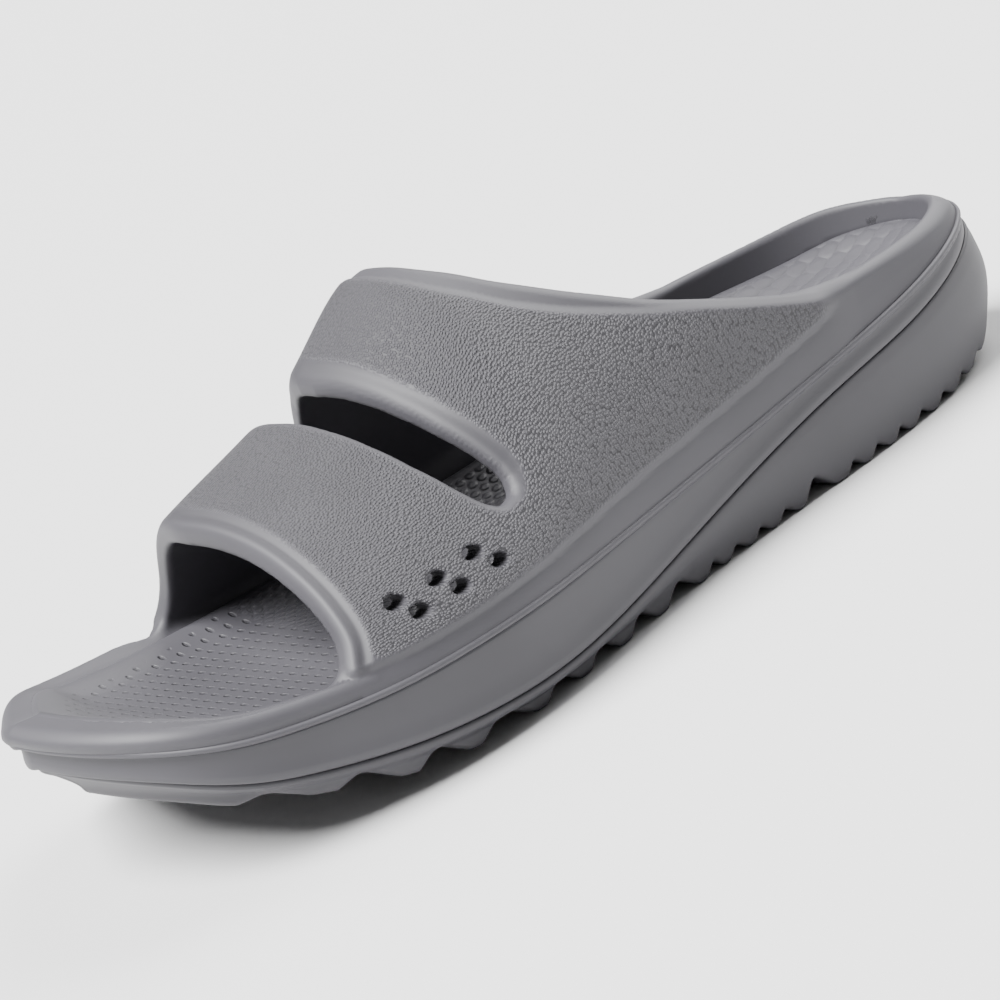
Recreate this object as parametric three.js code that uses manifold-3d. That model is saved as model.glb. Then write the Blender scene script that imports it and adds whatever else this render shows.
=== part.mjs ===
// A moulded foam slide sandal for the left foot: tread sole, midsole band, footbed and strap upper.
// Millimetres. While it is built, x runs from the back of the heel to the toe tip, y to the outer side, z up.
// The finished group has its origin under the middle of the sandal, on the floor.
import * as THREE from "three";
import { mergeVertices } from "three/addons/utils/BufferGeometryUtils.js";
import Module from "manifold-3d";

const wasm = await Module();
wasm.setup();

// Whole shoe
const LENGTH = 284;
const BALL_WIDTH = 106;
const HEEL_HEIGHT = 34.6; // floor to the parting line at the heel
const BAND_HEIGHT = 14.4; // midsole band on the side, at the ball
const TOE_SPRING = 16; // lift of the tread's edge at the toe
const TREAD_FLAT = 0.18; // less lift than this is pressed flat
const INSTEP_HEIGHT = 85.5; // top of the rear strap
const CREST_Y = -8; // the top of the instep lies towards the inner side
const GAP = 0.3; // between bodies that meet
const ROUND = 62; // mean radius of the straps, for widths measured round them

// Rim and footbed
const RIM_WIDTH = 7.5;
const RIM_HEIGHT = 5.6; // above the parting line at the heel
const HEEL_LEAN = 3.7; // the parting line lies this far forward of the back of the heel
const TOE_TUCK = 7; // the sole's side rounds in by this much at the toe
const FOOTBED_THICKNESS = 5;
const FOOTBED_CUP = 2.6; // the footbed's edge above its middle
const ARCH_RISE = 8.5; // the footbed's inner edge stands this much higher under the arch of the foot
const ARCH_AT = 0.33; // middle of that rise, share of the length
const ARCH_SPREAD = 0.15;
const MIDSOLE_FLOOR = 5; // least foam under the footbed
const HEEL_POCKET = 7; // footbed below the rim at the heel

// Straps
const STRAP_WALL = 4.6;
const PANEL_STEP = 0.9; // the grained panel stands this far above its border
const BORDER = 4.5; // smooth border along the openings
const OUTER_CURVE = 1.7; // roundness of the section on the outer side
const INNER_CURVE = 1.56; // roundness of the section on the inner side
const VENT_LENGTH = 5.4;
const VENT_HEIGHT = 3.4;

// Side walls of the sole
const CREASE_INSET = 1.7; // depth of the crease under the band
const ROOT_REAR = 0.5; // bottom of each groove, as shares of its width from the rear
const ROOT_FRONT = 0.64;

// Sections from heel to toe. at: share of the length. outer, inner: half widths as shares of the ball width.
// parting: share of the heel height. band: share of the band height. tread: share of the toe spring.
// drop: footbed below the rim at its lowest, share of the heel pocket.
// rim: height of the wall, share of the rim height.
const SECTIONS = [
  { at: 0, outer: 0, inner: 0, parting: 0.985, band: 0.2, tread: 0.3975, drop: 1, rim: 0.8 },
  { at: 0.0211, outer: 0.148, inner: 0.136, parting: 0.995, band: 0.22, tread: 0.278, drop: 1, rim: 0.86 },
  { at: 0.0528, outer: 0.237, inner: 0.228, parting: 0.985, band: 0.27, tread: 0.199, drop: 1, rim: 1.03 },
  { at: 0.1056, outer: 0.304, inner: 0.306, parting: 0.916, band: 0.34, tread: 0.106, drop: 0.97, rim: 1.29 },
  { at: 0.1937, outer: 0.35, inner: 0.344, parting: 0.818, band: 0.39, tread: 0, drop: 0.95, rim: 1.93 },
  { at: 0.2993, outer: 0.373, inner: 0.334, parting: 0.74, band: 0.4, tread: 0, drop: 1.02, rim: 2.5 },
  { at: 0.4049, outer: 0.391, inner: 0.322, parting: 0.673, band: 0.53, tread: 0, drop: 1.06, rim: 2.32 },
  { at: 0.5106, outer: 0.425, inner: 0.336, parting: 0.633, band: 0.757, tread: 0, drop: 1.06, rim: 1.43 },
  { at: 0.5986, outer: 0.468, inner: 0.383, parting: 0.624, band: 0.938, tread: 0, drop: 0.864, rim: 1.07 },
  { at: 0.669, outer: 0.502, inner: 0.429, parting: 0.627, band: 1, tread: 0, drop: 0.69, rim: 0.96 },
  { at: 0.7394, outer: 0.514, inner: 0.469, parting: 0.636, band: 0.958, tread: 0.08, drop: 0.52, rim: 0.93 },
  { at: 0.81, outer: 0.498, inner: 0.486, parting: 0.655, band: 0.833, tread: 0.24, drop: 0.35, rim: 0.92 },
  { at: 0.8803, outer: 0.45, inner: 0.468, parting: 0.711, band: 0.681, tread: 0.59, drop: 0.22, rim: 0.95 },
  { at: 0.9225, outer: 0.416, inner: 0.428, parting: 0.775, band: 0.58, tread: 0.78, drop: 0.17, rim: 0.95 },
  { at: 0.9542, outer: 0.362, inner: 0.316, parting: 0.845, band: 0.49, tread: 0.87, drop: 0.14, rim: 0.92 },
  { at: 0.9771, outer: 0.277, inner: 0.202, parting: 0.904, band: 0.42, tread: 0.945, drop: 0.125, rim: 0.9 },
  { at: 1, outer: -0.047, inner: 0.047, parting: 0.978, band: 0.37, tread: 1, drop: 0.125, rim: 0.89 },
];

// How far the lug tips stand inside the outline, millimetres. at: share of the length.
const TUCK = [
  { at: 0, tuck: 4.5 },
  { at: 0.0211, tuck: 5.5 },
  { at: 0.0528, tuck: 5.6 },
  { at: 0.1056, tuck: 4.2 },
  { at: 0.1937, tuck: 2.3 },
  { at: 0.2993, tuck: 1.5 },
  { at: 0.4049, tuck: 2.4 },
  { at: 0.5106, tuck: 3.4 },
  { at: 0.5986, tuck: 4.3 },
  { at: 0.669, tuck: 5.2 },
  { at: 0.7394, tuck: 4.6 },
  { at: 0.8099, tuck: 3.5 },
  { at: 0.8803, tuck: 2.9 },
  { at: 0.9225, tuck: 5.5 },
  { at: 0.9542, tuck: 8 },
  { at: 0.9771, tuck: 9.5 },
  { at: 1, tuck: 10.5 },
];

// Top of the straps along the shoe. at: share of the length. crest: share of the instep height.
const CREST = [
  { at: 0.2042, crest: 1.36 },
  { at: 0.338, crest: 1.28 },
  { at: 0.4401, crest: 1.095 },
  { at: 0.4891, crest: 1.033 },
  { at: 0.5565, crest: 1.001 },
  { at: 0.581, crest: 0.986 },
  { at: 0.6127, crest: 0.924 },
  { at: 0.6443, crest: 0.848 },
  { at: 0.676, crest: 0.789 },
  { at: 0.7076, crest: 0.751 },
  { at: 0.7464, crest: 0.713 },
  { at: 0.7822, crest: 0.676 },
  { at: 0.8098, crest: 0.643 },
  { at: 0.9221, crest: 0.526 },
  { at: 1, crest: 0.429 },
];

// Collar edge of the rear strap, seen from the side.
// at: share of the length. rise: share of the instep height.
const COLLAR = [
  { at: 0.1021, rise: 0.439 },
  { at: 0.1937, rise: 0.443 },
  { at: 0.2395, rise: 0.458 },
  { at: 0.281, rise: 0.487 },
  { at: 0.3204, rise: 0.532 },
  { at: 0.3574, rise: 0.58 },
  { at: 0.3915, rise: 0.628 },
  { at: 0.4373, rise: 0.699 },
  { at: 0.4634, rise: 0.751 },
  { at: 0.4877, rise: 0.801 },
  { at: 0.5091, rise: 0.85 },
  { at: 0.5281, rise: 0.897 },
  { at: 0.5436, rise: 0.944 },
  { at: 0.5563, rise: 0.982 },
  { at: 0.5619, rise: 1.008 },
];

// Edge of the toe opening. turn: angle from the outer foot of the wall. edge: share of the length.
const TOE_EDGE = [
  { turn: 0.03, edge: 0.8433 },
  { turn: 0.15, edge: 0.8415 },
  { turn: 0.25, edge: 0.8388 },
  { turn: 0.34, edge: 0.8334 },
  { turn: 0.44, edge: 0.8261 },
  { turn: 0.56, edge: 0.8208 },
  { turn: 0.7, edge: 0.8162 },
  { turn: 0.85, edge: 0.8123 },
  { turn: 1.05, edge: 0.8081 },
  { turn: 1.3, edge: 0.8057 },
  { turn: 1.55, edge: 0.8042 },
  { turn: 1.75, edge: 0.8021 },
  { turn: 2.0, edge: 0.7933 },
  { turn: 2.3, edge: 0.7807 },
  { turn: 2.5, edge: 0.7736 },
  { turn: 2.68, edge: 0.7715 },
  { turn: 2.85, edge: 0.7782 },
  { turn: 3.0, edge: 0.7923 },
  { turn: 3.1, edge: 0.8011 },
];

// Lower edge of the grained panel, seen from the side.
// at: share of the length. above: height above the parting line, millimetres.
const PANEL_EDGE = [
  { at: 0.2553, above: 10.4 },
  { at: 0.4085, above: 9.0 },
  { at: 0.5616, above: 8.3 },
  { at: 0.6637, above: 6.6 },
  { at: 0.7658, above: 5.8 },
  { at: 0.8577, above: 6.2 },
];

// Slot between the straps. turn: angle from the outer foot of the wall. rear, front: shares of the length.
const SLOT = [
  { turn: 0.475, rear: 0.6465, front: 0.657 },
  { turn: 0.49, rear: 0.643, front: 0.662 },
  { turn: 0.53, rear: 0.6398, front: 0.6683 },
  { turn: 0.57, rear: 0.6394, front: 0.6722 },
  { turn: 0.66, rear: 0.6423, front: 0.6782 },
  { turn: 0.84, rear: 0.6496, front: 0.6863 },
  { turn: 1.02, rear: 0.6546, front: 0.6908 },
  { turn: 1.22, rear: 0.6574, front: 0.6937 },
  { turn: 1.5, rear: 0.6585, front: 0.6947 },
  { turn: 1.75, rear: 0.656, front: 0.6947 },
  { turn: 1.95, rear: 0.6493, front: 0.6937 },
  { turn: 2.15, rear: 0.6394, front: 0.6915 },
  { turn: 2.35, rear: 0.6324, front: 0.6873 },
  { turn: 2.5, rear: 0.631, front: 0.6831 },
  { turn: 2.58, rear: 0.6352, front: 0.6789 },
  { turn: 2.62, rear: 0.6458, front: 0.6711 },
];

// Vent holes through the outer side of the front strap.
// at: share of the length. rise: share of the instep height.
const VENTS = [
  { at: 0.7785, rise: 0.426 },
  { at: 0.768, rise: 0.388 },
  { at: 0.742, rise: 0.427 },
  { at: 0.731, rise: 0.389 },
  { at: 0.706, rise: 0.434 },
  { at: 0.6922, rise: 0.393 },
];

// Tread lugs from heel to toe. at: middle of the tip, share of the length. tip: its flat width.
// groove: depth of the groove in front of it.
const LUGS = [
  { at: 0.0472, tip: 2.6, groove: 2.2 },
  { at: 0.0824, tip: 2.8, groove: 2.2 },
  { at: 0.1229, tip: 3, groove: 2.4 },
  { at: 0.1563, tip: 3, groove: 2.4 },
  { at: 0.1915, tip: 2.8, groove: 2.4 },
  { at: 0.2261, tip: 2.6, groove: 2.4 },
  { at: 0.2563, tip: 2.6, groove: 2.4 },
  { at: 0.2898, tip: 2.6, groove: 2.6 },
  { at: 0.3239, tip: 4.4, groove: 4.6 },
  { at: 0.3746, tip: 2.2, groove: 2.3 },
  { at: 0.407, tip: 2.2, groove: 2.3 },
  { at: 0.4366, tip: 2.2, groove: 2.3 },
  { at: 0.4683, tip: 2.2, groove: 2.5 },
  { at: 0.4979, tip: 3.2, groove: 3.9 },
  { at: 0.5507, tip: 3.4, groove: 3.9 },
  { at: 0.5975, tip: 3.4, groove: 3.9 },
  { at: 0.6465, tip: 3.4, groove: 3.9 },
  { at: 0.6972, tip: 3.4, groove: 3.9 },
  { at: 0.7641, tip: 3, groove: 3.6 },
  { at: 0.8197, tip: 3, groove: 3 },
  { at: 0.8796, tip: 3, groove: 2.4 },
  { at: 0.956, tip: 12, groove: 0 },
];

const STATIONS = 36; // sections worked out on each side
const STRAP_STEPS = 26; // facets round the straps' section
const DEEP = 14; // how far a cutter reaches past a wall

// Natural cubic spline through rows, keyed by one column and read from another.
function curve(rows, key, column) {
  const x = rows.map(key);
  const y = rows.map((row) => row[column]);
  const last = x.length - 1;
  const bend = new Array(last + 1).fill(0);
  const pivot = new Array(last + 1).fill(0);
  for (let i = 1; i < last; i++) {
    const left = x[i] - x[i - 1];
    const right = x[i + 1] - x[i];
    const slope = (y[i + 1] - y[i]) / right - (y[i] - y[i - 1]) / left;
    const scale = 2 * (left + right) - (i > 1 ? left * pivot[i - 1] : 0);
    pivot[i] = right / scale;
    bend[i] = (6 * slope - left * bend[i - 1]) / scale;
  }
  for (let i = last - 1; i > 0; i--) bend[i] -= pivot[i] * bend[i + 1];
  return (at) => {
    const clamped = Math.min(Math.max(at, x[0]), x[last]);
    let i = 0;
    while (i < last - 1 && clamped > x[i + 1]) i++;
    const h = x[i + 1] - x[i];
    const a = (x[i + 1] - clamped) / h;
    const b = 1 - a;
    const lift = ((a ** 3 - a) * bend[i] + (b ** 3 - b) * bend[i + 1]) * (h * h) / 6;
    return a * y[i] + b * y[i + 1] + lift;
  };
}

// A station runs 0 to 1 from heel to toe and crowds the sections at both ends.
const stationAt = (share) => Math.acos(1 - 2 * Math.min(Math.max(share, 0), 1)) / Math.PI;
const shareOf = (station) => (1 - Math.cos(Math.PI * station)) / 2;
const byStation = (row) => stationAt(row.at);
const byShare = (row) => row.at;

const outerShare = curve(SECTIONS, byStation, "outer");
const innerShare = curve(SECTIONS, byStation, "inner");
const partingShare = curve(SECTIONS, byStation, "parting");
const bandShare = curve(SECTIONS, byStation, "band");
const treadShare = curve(SECTIONS, byStation, "tread");
const dropShare = curve(SECTIONS, byStation, "drop");
const rimShare = curve(SECTIONS, byStation, "rim");
const tuck = curve(TUCK, byStation, "tuck");
const crestShare = curve(CREST, byShare, "crest");
const panelAbove = curve(PANEL_EDGE, byShare, "above");

const parting = (s) => HEEL_HEIGHT * partingShare(s);
const crease = (s) => parting(s) - BAND_HEIGHT * bandShare(s);
const tread = (s) => Math.max(TOE_SPRING * treadShare(s) - TREAD_FLAT, 0);
const rimHeight = (s) => RIM_HEIGHT * rimShare(s);
const rimTop = (s) => parting(s) + rimHeight(s);
const footbedTop = (s) => parting(s) + RIM_HEIGHT - HEEL_POCKET * dropShare(s);
const footbedBottom = (s) => footbedTop(s) - FOOTBED_THICKNESS;
const soleTop = (s) => Math.min(crease(s), footbedBottom(s) - MIDSOLE_FLOOR - 2 * GAP);
const heelLean = (s) => HEEL_LEAN * Math.exp(-((s / 0.17) ** 2));
const toeTuck = (s) => TOE_TUCK * Math.exp(-(((1 - s) / 0.16) ** 2));
const rimInside = (s) => RIM_WIDTH + 1.2 * heelLean(s);
const archRise = (s) => ARCH_RISE * Math.exp(-(((shareOf(s) - ARCH_AT) / ARCH_SPREAD) ** 2));

// Outline in plan: the outer side from heel to toe, then the inner side back to the heel.
const RING = 2 * STATIONS;
const ringStation = (i) => (i <= STATIONS ? i : RING - i) / STATIONS;
const plan = Array.from({ length: RING }, (_, i) => {
  const s = ringStation(i);
  const half = i <= STATIONS ? outerShare(s) : -innerShare(s);
  return new THREE.Vector2(LENGTH * shareOf(s), BALL_WIDTH * half);
});
const outward = plan.map((_, i) => {
  const along = plan[(i + 1) % RING].clone().sub(plan[(i + RING - 1) % RING]);
  return new THREE.Vector2(-along.y, along.x).normalize();
});

// One closed line round the shoe, set in from the outline, at a height given by the station and the side.
function ring(inset, height) {
  return plan.map((point, i) => {
    const s = ringStation(i);
    const depth = typeof inset === "function" ? inset(s) : inset;
    const p = point.clone().addScaledVector(outward[i], -depth);
    return new THREE.Vector3(p.x, p.y, height(s, i > STATIONS));
  });
}

// A manifold solid from points and triangles.
function solid(points, faces) {
  const geometry = new THREE.BufferGeometry();
  const numbers = points.flatMap((p) => [p.x, p.y, p.z]);
  geometry.setAttribute("position", new THREE.Float32BufferAttribute(numbers, 3));
  geometry.setIndex(faces.flat());
  return solidOf(geometry);
}

function solidOf(geometry) {
  geometry.deleteAttribute("normal");
  geometry.deleteAttribute("uv");
  const merged = mergeVertices(geometry, 1e-3);
  return new wasm.Manifold(
    new wasm.Mesh({
      numProp: 3,
      vertProperties: new Float32Array(merged.attributes.position.array),
      triVerts: new Uint32Array(merged.index.array),
    }),
  );
}

// Closes a ring with rows across the shoe. sag gives how far a row is lowered between the two sides.
function addCap(points, faces, start, columns, sag, upward) {
  const rows = [];
  for (let i = 0; i <= STATIONS; i++) {
    const outerPoint = start + i;
    const innerPoint = start + ((RING - i) % RING);
    const row = [outerPoint];
    for (let k = 1; k < columns; k++) {
      if (i === 0 || i === STATIONS) {
        row.push(outerPoint);
        continue;
      }
      const across = k / columns;
      const p = points[outerPoint].clone().lerp(points[innerPoint], across);
      p.z -= sag(ringStation(i), across);
      row.push(points.push(p) - 1);
    }
    row.push(innerPoint);
    rows.push(row);
  }
  for (let i = 0; i < STATIONS; i++) {
    for (let k = 0; k < columns; k++) {
      const [a, b, c, d] = [rows[i][k], rows[i][k + 1], rows[i + 1][k + 1], rows[i + 1][k]];
      for (const face of [[a, b, c], [a, c, d]]) {
        if (new Set(face).size < 3) continue;
        faces.push(upward ? face : [face[0], face[2], face[1]]);
      }
    }
  }
}

// A body whose sides run through the rings from below to above, closed at both ends.
function loft(rings, { columns = 1, sag = () => 0 } = {}) {
  const points = rings.flat();
  const faces = [];
  for (let level = 0; level < rings.length - 1; level++) {
    for (let i = 0; i < RING; i++) {
      const a = level * RING + i;
      const b = level * RING + ((i + 1) % RING);
      const rising = points[a].distanceTo(points[b + RING]);
      const falling = points[b].distanceTo(points[a + RING]);
      if (rising < falling) faces.push([a, a + RING, b + RING], [a, b + RING, b]);
      else faces.push([a, a + RING, b], [a + RING, b + RING, b]);
    }
  }
  addCap(points, faces, 0, 1, sag, false);
  addCap(points, faces, (rings.length - 1) * RING, columns, sag, true);
  return solid(points, faces);
}

// A prism across the shoe from an outline seen from the side.
function acrossShoe(outline, { from = -LENGTH, to = LENGTH } = {}) {
  const shape = new THREE.Shape(outline.map(([x, z]) => new THREE.Vector2(x, z)));
  const geometry = new THREE.ExtrudeGeometry(shape, { depth: to - from, bevelEnabled: false });
  geometry.rotateX(Math.PI / 2);
  geometry.translate(0, to, 0);
  return solidOf(geometry);
}

// Point on the straps' arched surface: turn runs 0 to pi from the outer foot to the inner foot.
function archPoint(share, turn, grow) {
  const s = stationAt(share);
  const foot = turn < Math.PI / 2 ? BALL_WIDTH * outerShare(s) : -BALL_WIDTH * innerShare(s);
  const roundness = turn < Math.PI / 2 ? OUTER_CURVE : INNER_CURVE;
  const reach = Math.abs(foot - CREST_Y) + grow;
  const base = parting(s);
  const height = INSTEP_HEIGHT * crestShare(share) - base + grow;
  const across = Math.abs(Math.cos(turn)) ** (2 / roundness) * Math.sign(Math.cos(turn));
  const up = Math.sin(turn) ** (2 / roundness);
  return new THREE.Vector3(LENGTH * share, CREST_Y + reach * across, base + height * up);
}

// The arch over the shoe as a filled body, grown or shrunk from the straps' outer surface.
function arch(grow, below) {
  const rows = 22;
  const first = 0.204;
  const last = 0.853;
  const points = [];
  const faces = [];
  for (let r = 0; r <= rows; r++) {
    const share = first + ((last - first) * r) / rows;
    for (let k = 0; k <= STRAP_STEPS; k++) {
      const turn = Math.PI * (k / STRAP_STEPS);
      points.push(archPoint(share, Math.min(Math.max(turn, 1e-9), Math.PI - 1e-9), grow));
    }
    for (const k of [STRAP_STEPS, 0]) {
      const foot = points[r * (STRAP_STEPS + 3) + k].clone();
      foot.z -= below;
      points.push(foot);
    }
  }
  const span = STRAP_STEPS + 3;
  for (let r = 0; r < rows; r++) {
    for (let k = 0; k < span; k++) {
      const a = r * span + k;
      const b = r * span + ((k + 1) % span);
      faces.push([a, b, b + span], [a, b + span, a + span]);
    }
  }
  for (let k = 1; k < span - 1; k++) {
    const end = rows * span;
    faces.push([0, k + 1, k], [end, end + k, end + k + 1]);
  }
  return solid(points, faces);
}

// A cutter through the arched wall, from rows of turn, rear and front. grow widens it all round.
function throughWall(rows, grow) {
  const points = [];
  const faces = [];
  const middle = (rows[0].turn + rows[rows.length - 1].turn) / 2;
  for (const row of rows) {
    const turn = row.turn + (grow / ROUND) * Math.sign(row.turn - middle);
    const rear = row.rear - grow / LENGTH;
    const front = row.front + grow / LENGTH;
    points.push(archPoint(rear, turn, -DEEP), archPoint(front, turn, -DEEP));
    points.push(archPoint(front, turn, DEEP), archPoint(rear, turn, DEEP));
  }
  for (let r = 0; r < rows.length - 1; r++) {
    for (let k = 0; k < 4; k++) {
      const a = 4 * r + k;
      const b = 4 * r + ((k + 1) % 4);
      faces.push([a, b, b + 4], [a, b + 4, a + 4]);
    }
  }
  const end = 4 * (rows.length - 1);
  faces.push([0, 2, 1], [0, 3, 2], [end, end + 1, end + 2], [end, end + 2, end + 3]);
  return solid(points, faces);
}

const sideView = (rows) => rows.map((row) => [LENGTH * row.at, INSTEP_HEIGHT * row.rise]);
const ABOVE = 1.7 * INSTEP_HEIGHT;

// Everything behind and above the collar edge. border moves the edge into the strap.
function collarCutter(border) {
  const last = COLLAR.length - 1;
  const edge = sideView(COLLAR).map(([x, z], i) => [x + 0.55 * border, i < last ? z - 0.8 * border : z]);
  const end = edge[last];
  return acrossShoe([...edge, [end[0], ABOVE], [-LENGTH, ABOVE], [-LENGTH, edge[0][1]]]);
}

// Everything in front of the straps, above the toe rim.
function toeCutter(border) {
  return throughWall(
    TOE_EDGE.map(({ turn, edge }) => ({ turn, rear: edge - border / LENGTH, front: 0.98 })),
    0,
  );
}

function tableLine(first, last, steps, height) {
  return Array.from({ length: steps + 1 }, (_, i) => {
    const share = first + ((last - first) * i) / steps;
    return [LENGTH * share, height(share)];
  });
}

function makeOutsole() {
  const side = (share) => (s) => tread(s) + share * (crease(s) - tread(s));
  const low = (s) => Math.min(side(0.42)(s), tread(s) + 3);
  const middle = (s) => side(0.68)(s) - heelLean(s);
  const body = loft([
    ring((s) => tuck(s) + 0.4, tread),
    ring((s) => tuck(s) - 0.2 - 0.7 * heelLean(s), low),
    ring((s) => 0.5 + 0.2 * tuck(s) - 0.5 * heelLean(s) + 0.6 * toeTuck(s), middle),
    ring((s) => 0.8 + 0.5 * heelLean(s) + 0.6 * toeTuck(s), side(0.86)),
    ring((s) => CREASE_INSET - GAP + 0.8 * heelLean(s) + 0.25 * toeTuck(s), (s) => crease(s) - GAP),
    ring(RIM_WIDTH + 2 - GAP, (s) => soleTop(s) - GAP),
  ]);
  const floorAt = (x) => tread(stationAt(x / LENGTH));
  let sole = body;
  for (let i = 0; i < LUGS.length - 1; i++) {
    const heelSide = LENGTH * LUGS[i].at + LUGS[i].tip / 2;
    const toeSide = LENGTH * LUGS[i + 1].at - LUGS[i + 1].tip / 2;
    const rootRear = heelSide + ROOT_REAR * (toeSide - heelSide);
    const rootFront = heelSide + ROOT_FRONT * (toeSide - heelSide);
    sole = sole.subtract(
      acrossShoe([
        [heelSide - 0.5, floorAt(heelSide) - 6],
        [toeSide + 0.5, floorAt(toeSide) - 6],
        [toeSide, floorAt(toeSide)],
        [rootFront, floorAt(rootFront) + LUGS[i].groove],
        [rootRear, floorAt(rootRear) + LUGS[i].groove],
        [heelSide, floorAt(heelSide)],
      ]),
    );
  }
  return sole;
}

function makeMidsole() {
  return loft([
    ring(RIM_WIDTH + 2, soleTop),
    ring((s) => CREASE_INSET + 0.8 * heelLean(s) + 0.25 * toeTuck(s), crease),
    ring((s) => 0.6 + heelLean(s) + 0.2 * toeTuck(s), (s) => crease(s) + 0.18 * (parting(s) - crease(s))),
    ring((s) => 0.5 + heelLean(s) + 0.2 * toeTuck(s), (s) => parting(s) - 3 * GAP),
    ring((s) => rimInside(s) - 2 * GAP, (s) => footbedBottom(s) - GAP),
  ]);
}

function makeFootbed() {
  const beside = (more) => (s) => rimInside(s) + GAP + more;
  const edge = (s, inner) => footbedTop(s) + (inner ? archRise(s) : 0);
  const sag = (s, across) => {
    const cup = FOOTBED_CUP * Math.sin(Math.PI * across) ** 0.5 * Math.min(1, 3 * Math.sin(Math.PI * s));
    return cup + archRise(s) * (across - across ** 4);
  };
  return loft(
    [
      ring(beside(0.4), footbedBottom),
      ring(beside(0.2), (s, inner) => edge(s, inner) - 1),
      ring(beside(1.5), edge),
    ],
    { columns: 8, sag },
  );
}

function makeRim() {
  const topInset = (s) => 1.4 + 0.14 * rimHeight(s) + 1.6 * heelLean(s) - 0.1 * toeTuck(s);
  const outside = loft([
    ring((s) => rimInside(s) - 0.2, footbedBottom),
    ring((s) => 0.2 + heelLean(s) + 0.15 * toeTuck(s), parting),
    ring((s) => 0.6 + 0.06 * rimHeight(s) + 1.3 * heelLean(s), (s) => parting(s) + 0.5 * rimHeight(s)),
    ring((s) => topInset(s) - 0.3, (s) => rimTop(s) - 0.9),
    ring((s) => topInset(s) + 1.5, rimTop),
  ]);
  const inside = loft([
    ring(rimInside, (s) => footbedBottom(s) - DEEP),
    ring(rimInside, (s) => footbedTop(s) + 0.5),
    ring((s) => Math.min(topInset(s) + 3.4, rimInside(s) - 0.2), (s) => rimTop(s) - 0.8),
    ring((s) => Math.min(topInset(s) + 3.2, rimInside(s) - 0.4), (s) => rimTop(s) + 2),
  ]);
  return outside.subtract(inside);
}

function makeUpper() {
  const edgeCutters = (border) => [collarCutter(border), toeCutter(border)];
  let straps = arch(0, 0).subtract(arch(-STRAP_WALL, 40));
  for (const cutter of edgeCutters(0)) straps = straps.subtract(cutter);

  const line = tableLine(0.265, 0.858, 12, (share) => parting(stationAt(share)) + panelAbove(share));
  const region = acrossShoe([...line, [LENGTH * 0.858, ABOVE], [LENGTH * 0.265, ABOVE]]);
  let panel = arch(PANEL_STEP, 0).subtract(arch(-0.4 * STRAP_WALL, 40)).intersect(region);
  for (const cutter of edgeCutters(BORDER)) panel = panel.subtract(cutter);
  panel = panel.subtract(throughWall(SLOT, BORDER * 0.8));

  let upper = straps.add(makeRim()).add(panel).subtract(throughWall(SLOT, 0));
  for (const { at, rise } of VENTS) {
    const centre = [LENGTH * at, INSTEP_HEIGHT * rise];
    const oval = Array.from({ length: 12 }, (_, i) => {
      const angle = (Math.PI * i) / 6;
      const along = (VENT_LENGTH / 2) * Math.cos(angle);
      return [centre[0] + along, centre[1] + (VENT_HEIGHT / 2) * Math.sin(angle) + 0.1 * along];
    });
    upper = upper.subtract(acrossShoe(oval, { from: 0.25 * BALL_WIDTH, to: BALL_WIDTH }));
  }
  return upper;
}

const FOAM = [
  { name: "outsole", make: makeOutsole, color: 0x5f5d62, roughness: 0.62 },
  { name: "midsole", make: makeMidsole, color: 0x66646a, roughness: 0.58 },
  { name: "footbed", make: makeFootbed, color: 0x605e63, roughness: 0.66 },
  { name: "upper", make: makeUpper, color: 0x6b696f, roughness: 0.55 },
];

const sandal = new THREE.Group();
sandal.name = "slide_sandal";
for (const { name, make, color, roughness } of FOAM) {
  const made = make().getMesh();
  const geometry = new THREE.BufferGeometry();
  geometry.setAttribute("position", new THREE.Float32BufferAttribute(made.vertProperties, 3));
  geometry.setIndex([...made.triVerts]);
  const material = new THREE.MeshStandardMaterial({ color, roughness, metalness: 0 });
  const mesh = new THREE.Mesh(geometry, material);
  mesh.name = name;
  sandal.add(mesh);
}
const extent = new THREE.Box3().setFromObject(sandal);
const middle = extent.getCenter(new THREE.Vector3());
for (const mesh of sandal.children) mesh.geometry.translate(-middle.x, -middle.y, -extent.min.z);

export default sandal;
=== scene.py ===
"""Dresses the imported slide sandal: fine foam surfaces, grain, beads and creases, stage, light and camera.

Lengths are millimetres until a mesh is made. x runs from the back of the heel to the toe tip, y to the outer
side, z up, as in the part's source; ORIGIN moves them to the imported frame.
"""
import math

import bpy
import numpy as np
from mathutils import Matrix, Vector


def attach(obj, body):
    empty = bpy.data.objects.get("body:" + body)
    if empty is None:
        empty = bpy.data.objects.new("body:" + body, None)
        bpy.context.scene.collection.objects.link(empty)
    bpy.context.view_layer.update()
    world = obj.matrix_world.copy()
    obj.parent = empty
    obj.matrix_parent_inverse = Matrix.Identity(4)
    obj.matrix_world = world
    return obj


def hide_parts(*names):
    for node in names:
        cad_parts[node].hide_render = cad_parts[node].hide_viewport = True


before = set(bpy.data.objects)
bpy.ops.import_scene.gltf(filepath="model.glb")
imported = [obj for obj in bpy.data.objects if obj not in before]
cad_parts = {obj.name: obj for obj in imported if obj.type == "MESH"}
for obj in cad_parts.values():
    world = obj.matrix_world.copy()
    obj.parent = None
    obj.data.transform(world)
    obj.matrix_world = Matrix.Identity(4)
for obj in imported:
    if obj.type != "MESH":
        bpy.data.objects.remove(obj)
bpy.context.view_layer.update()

# Driving sizes of the part
LENGTH = 284.0
BALL_WIDTH = 106.0
HEEL_HEIGHT = 34.6
BAND_HEIGHT = 14.4
TOE_SPRING = 16.0
TREAD_FLAT = 0.18
INSTEP_HEIGHT = 85.5
CREST_Y = -8.0
GAP = 0.3
RIM_WIDTH = 7.5
RIM_HEIGHT = 5.6
HEEL_LEAN = 3.7
TOE_TUCK = 7.0
FOOTBED_THICKNESS = 5.0
FOOTBED_CUP = 2.6
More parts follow.
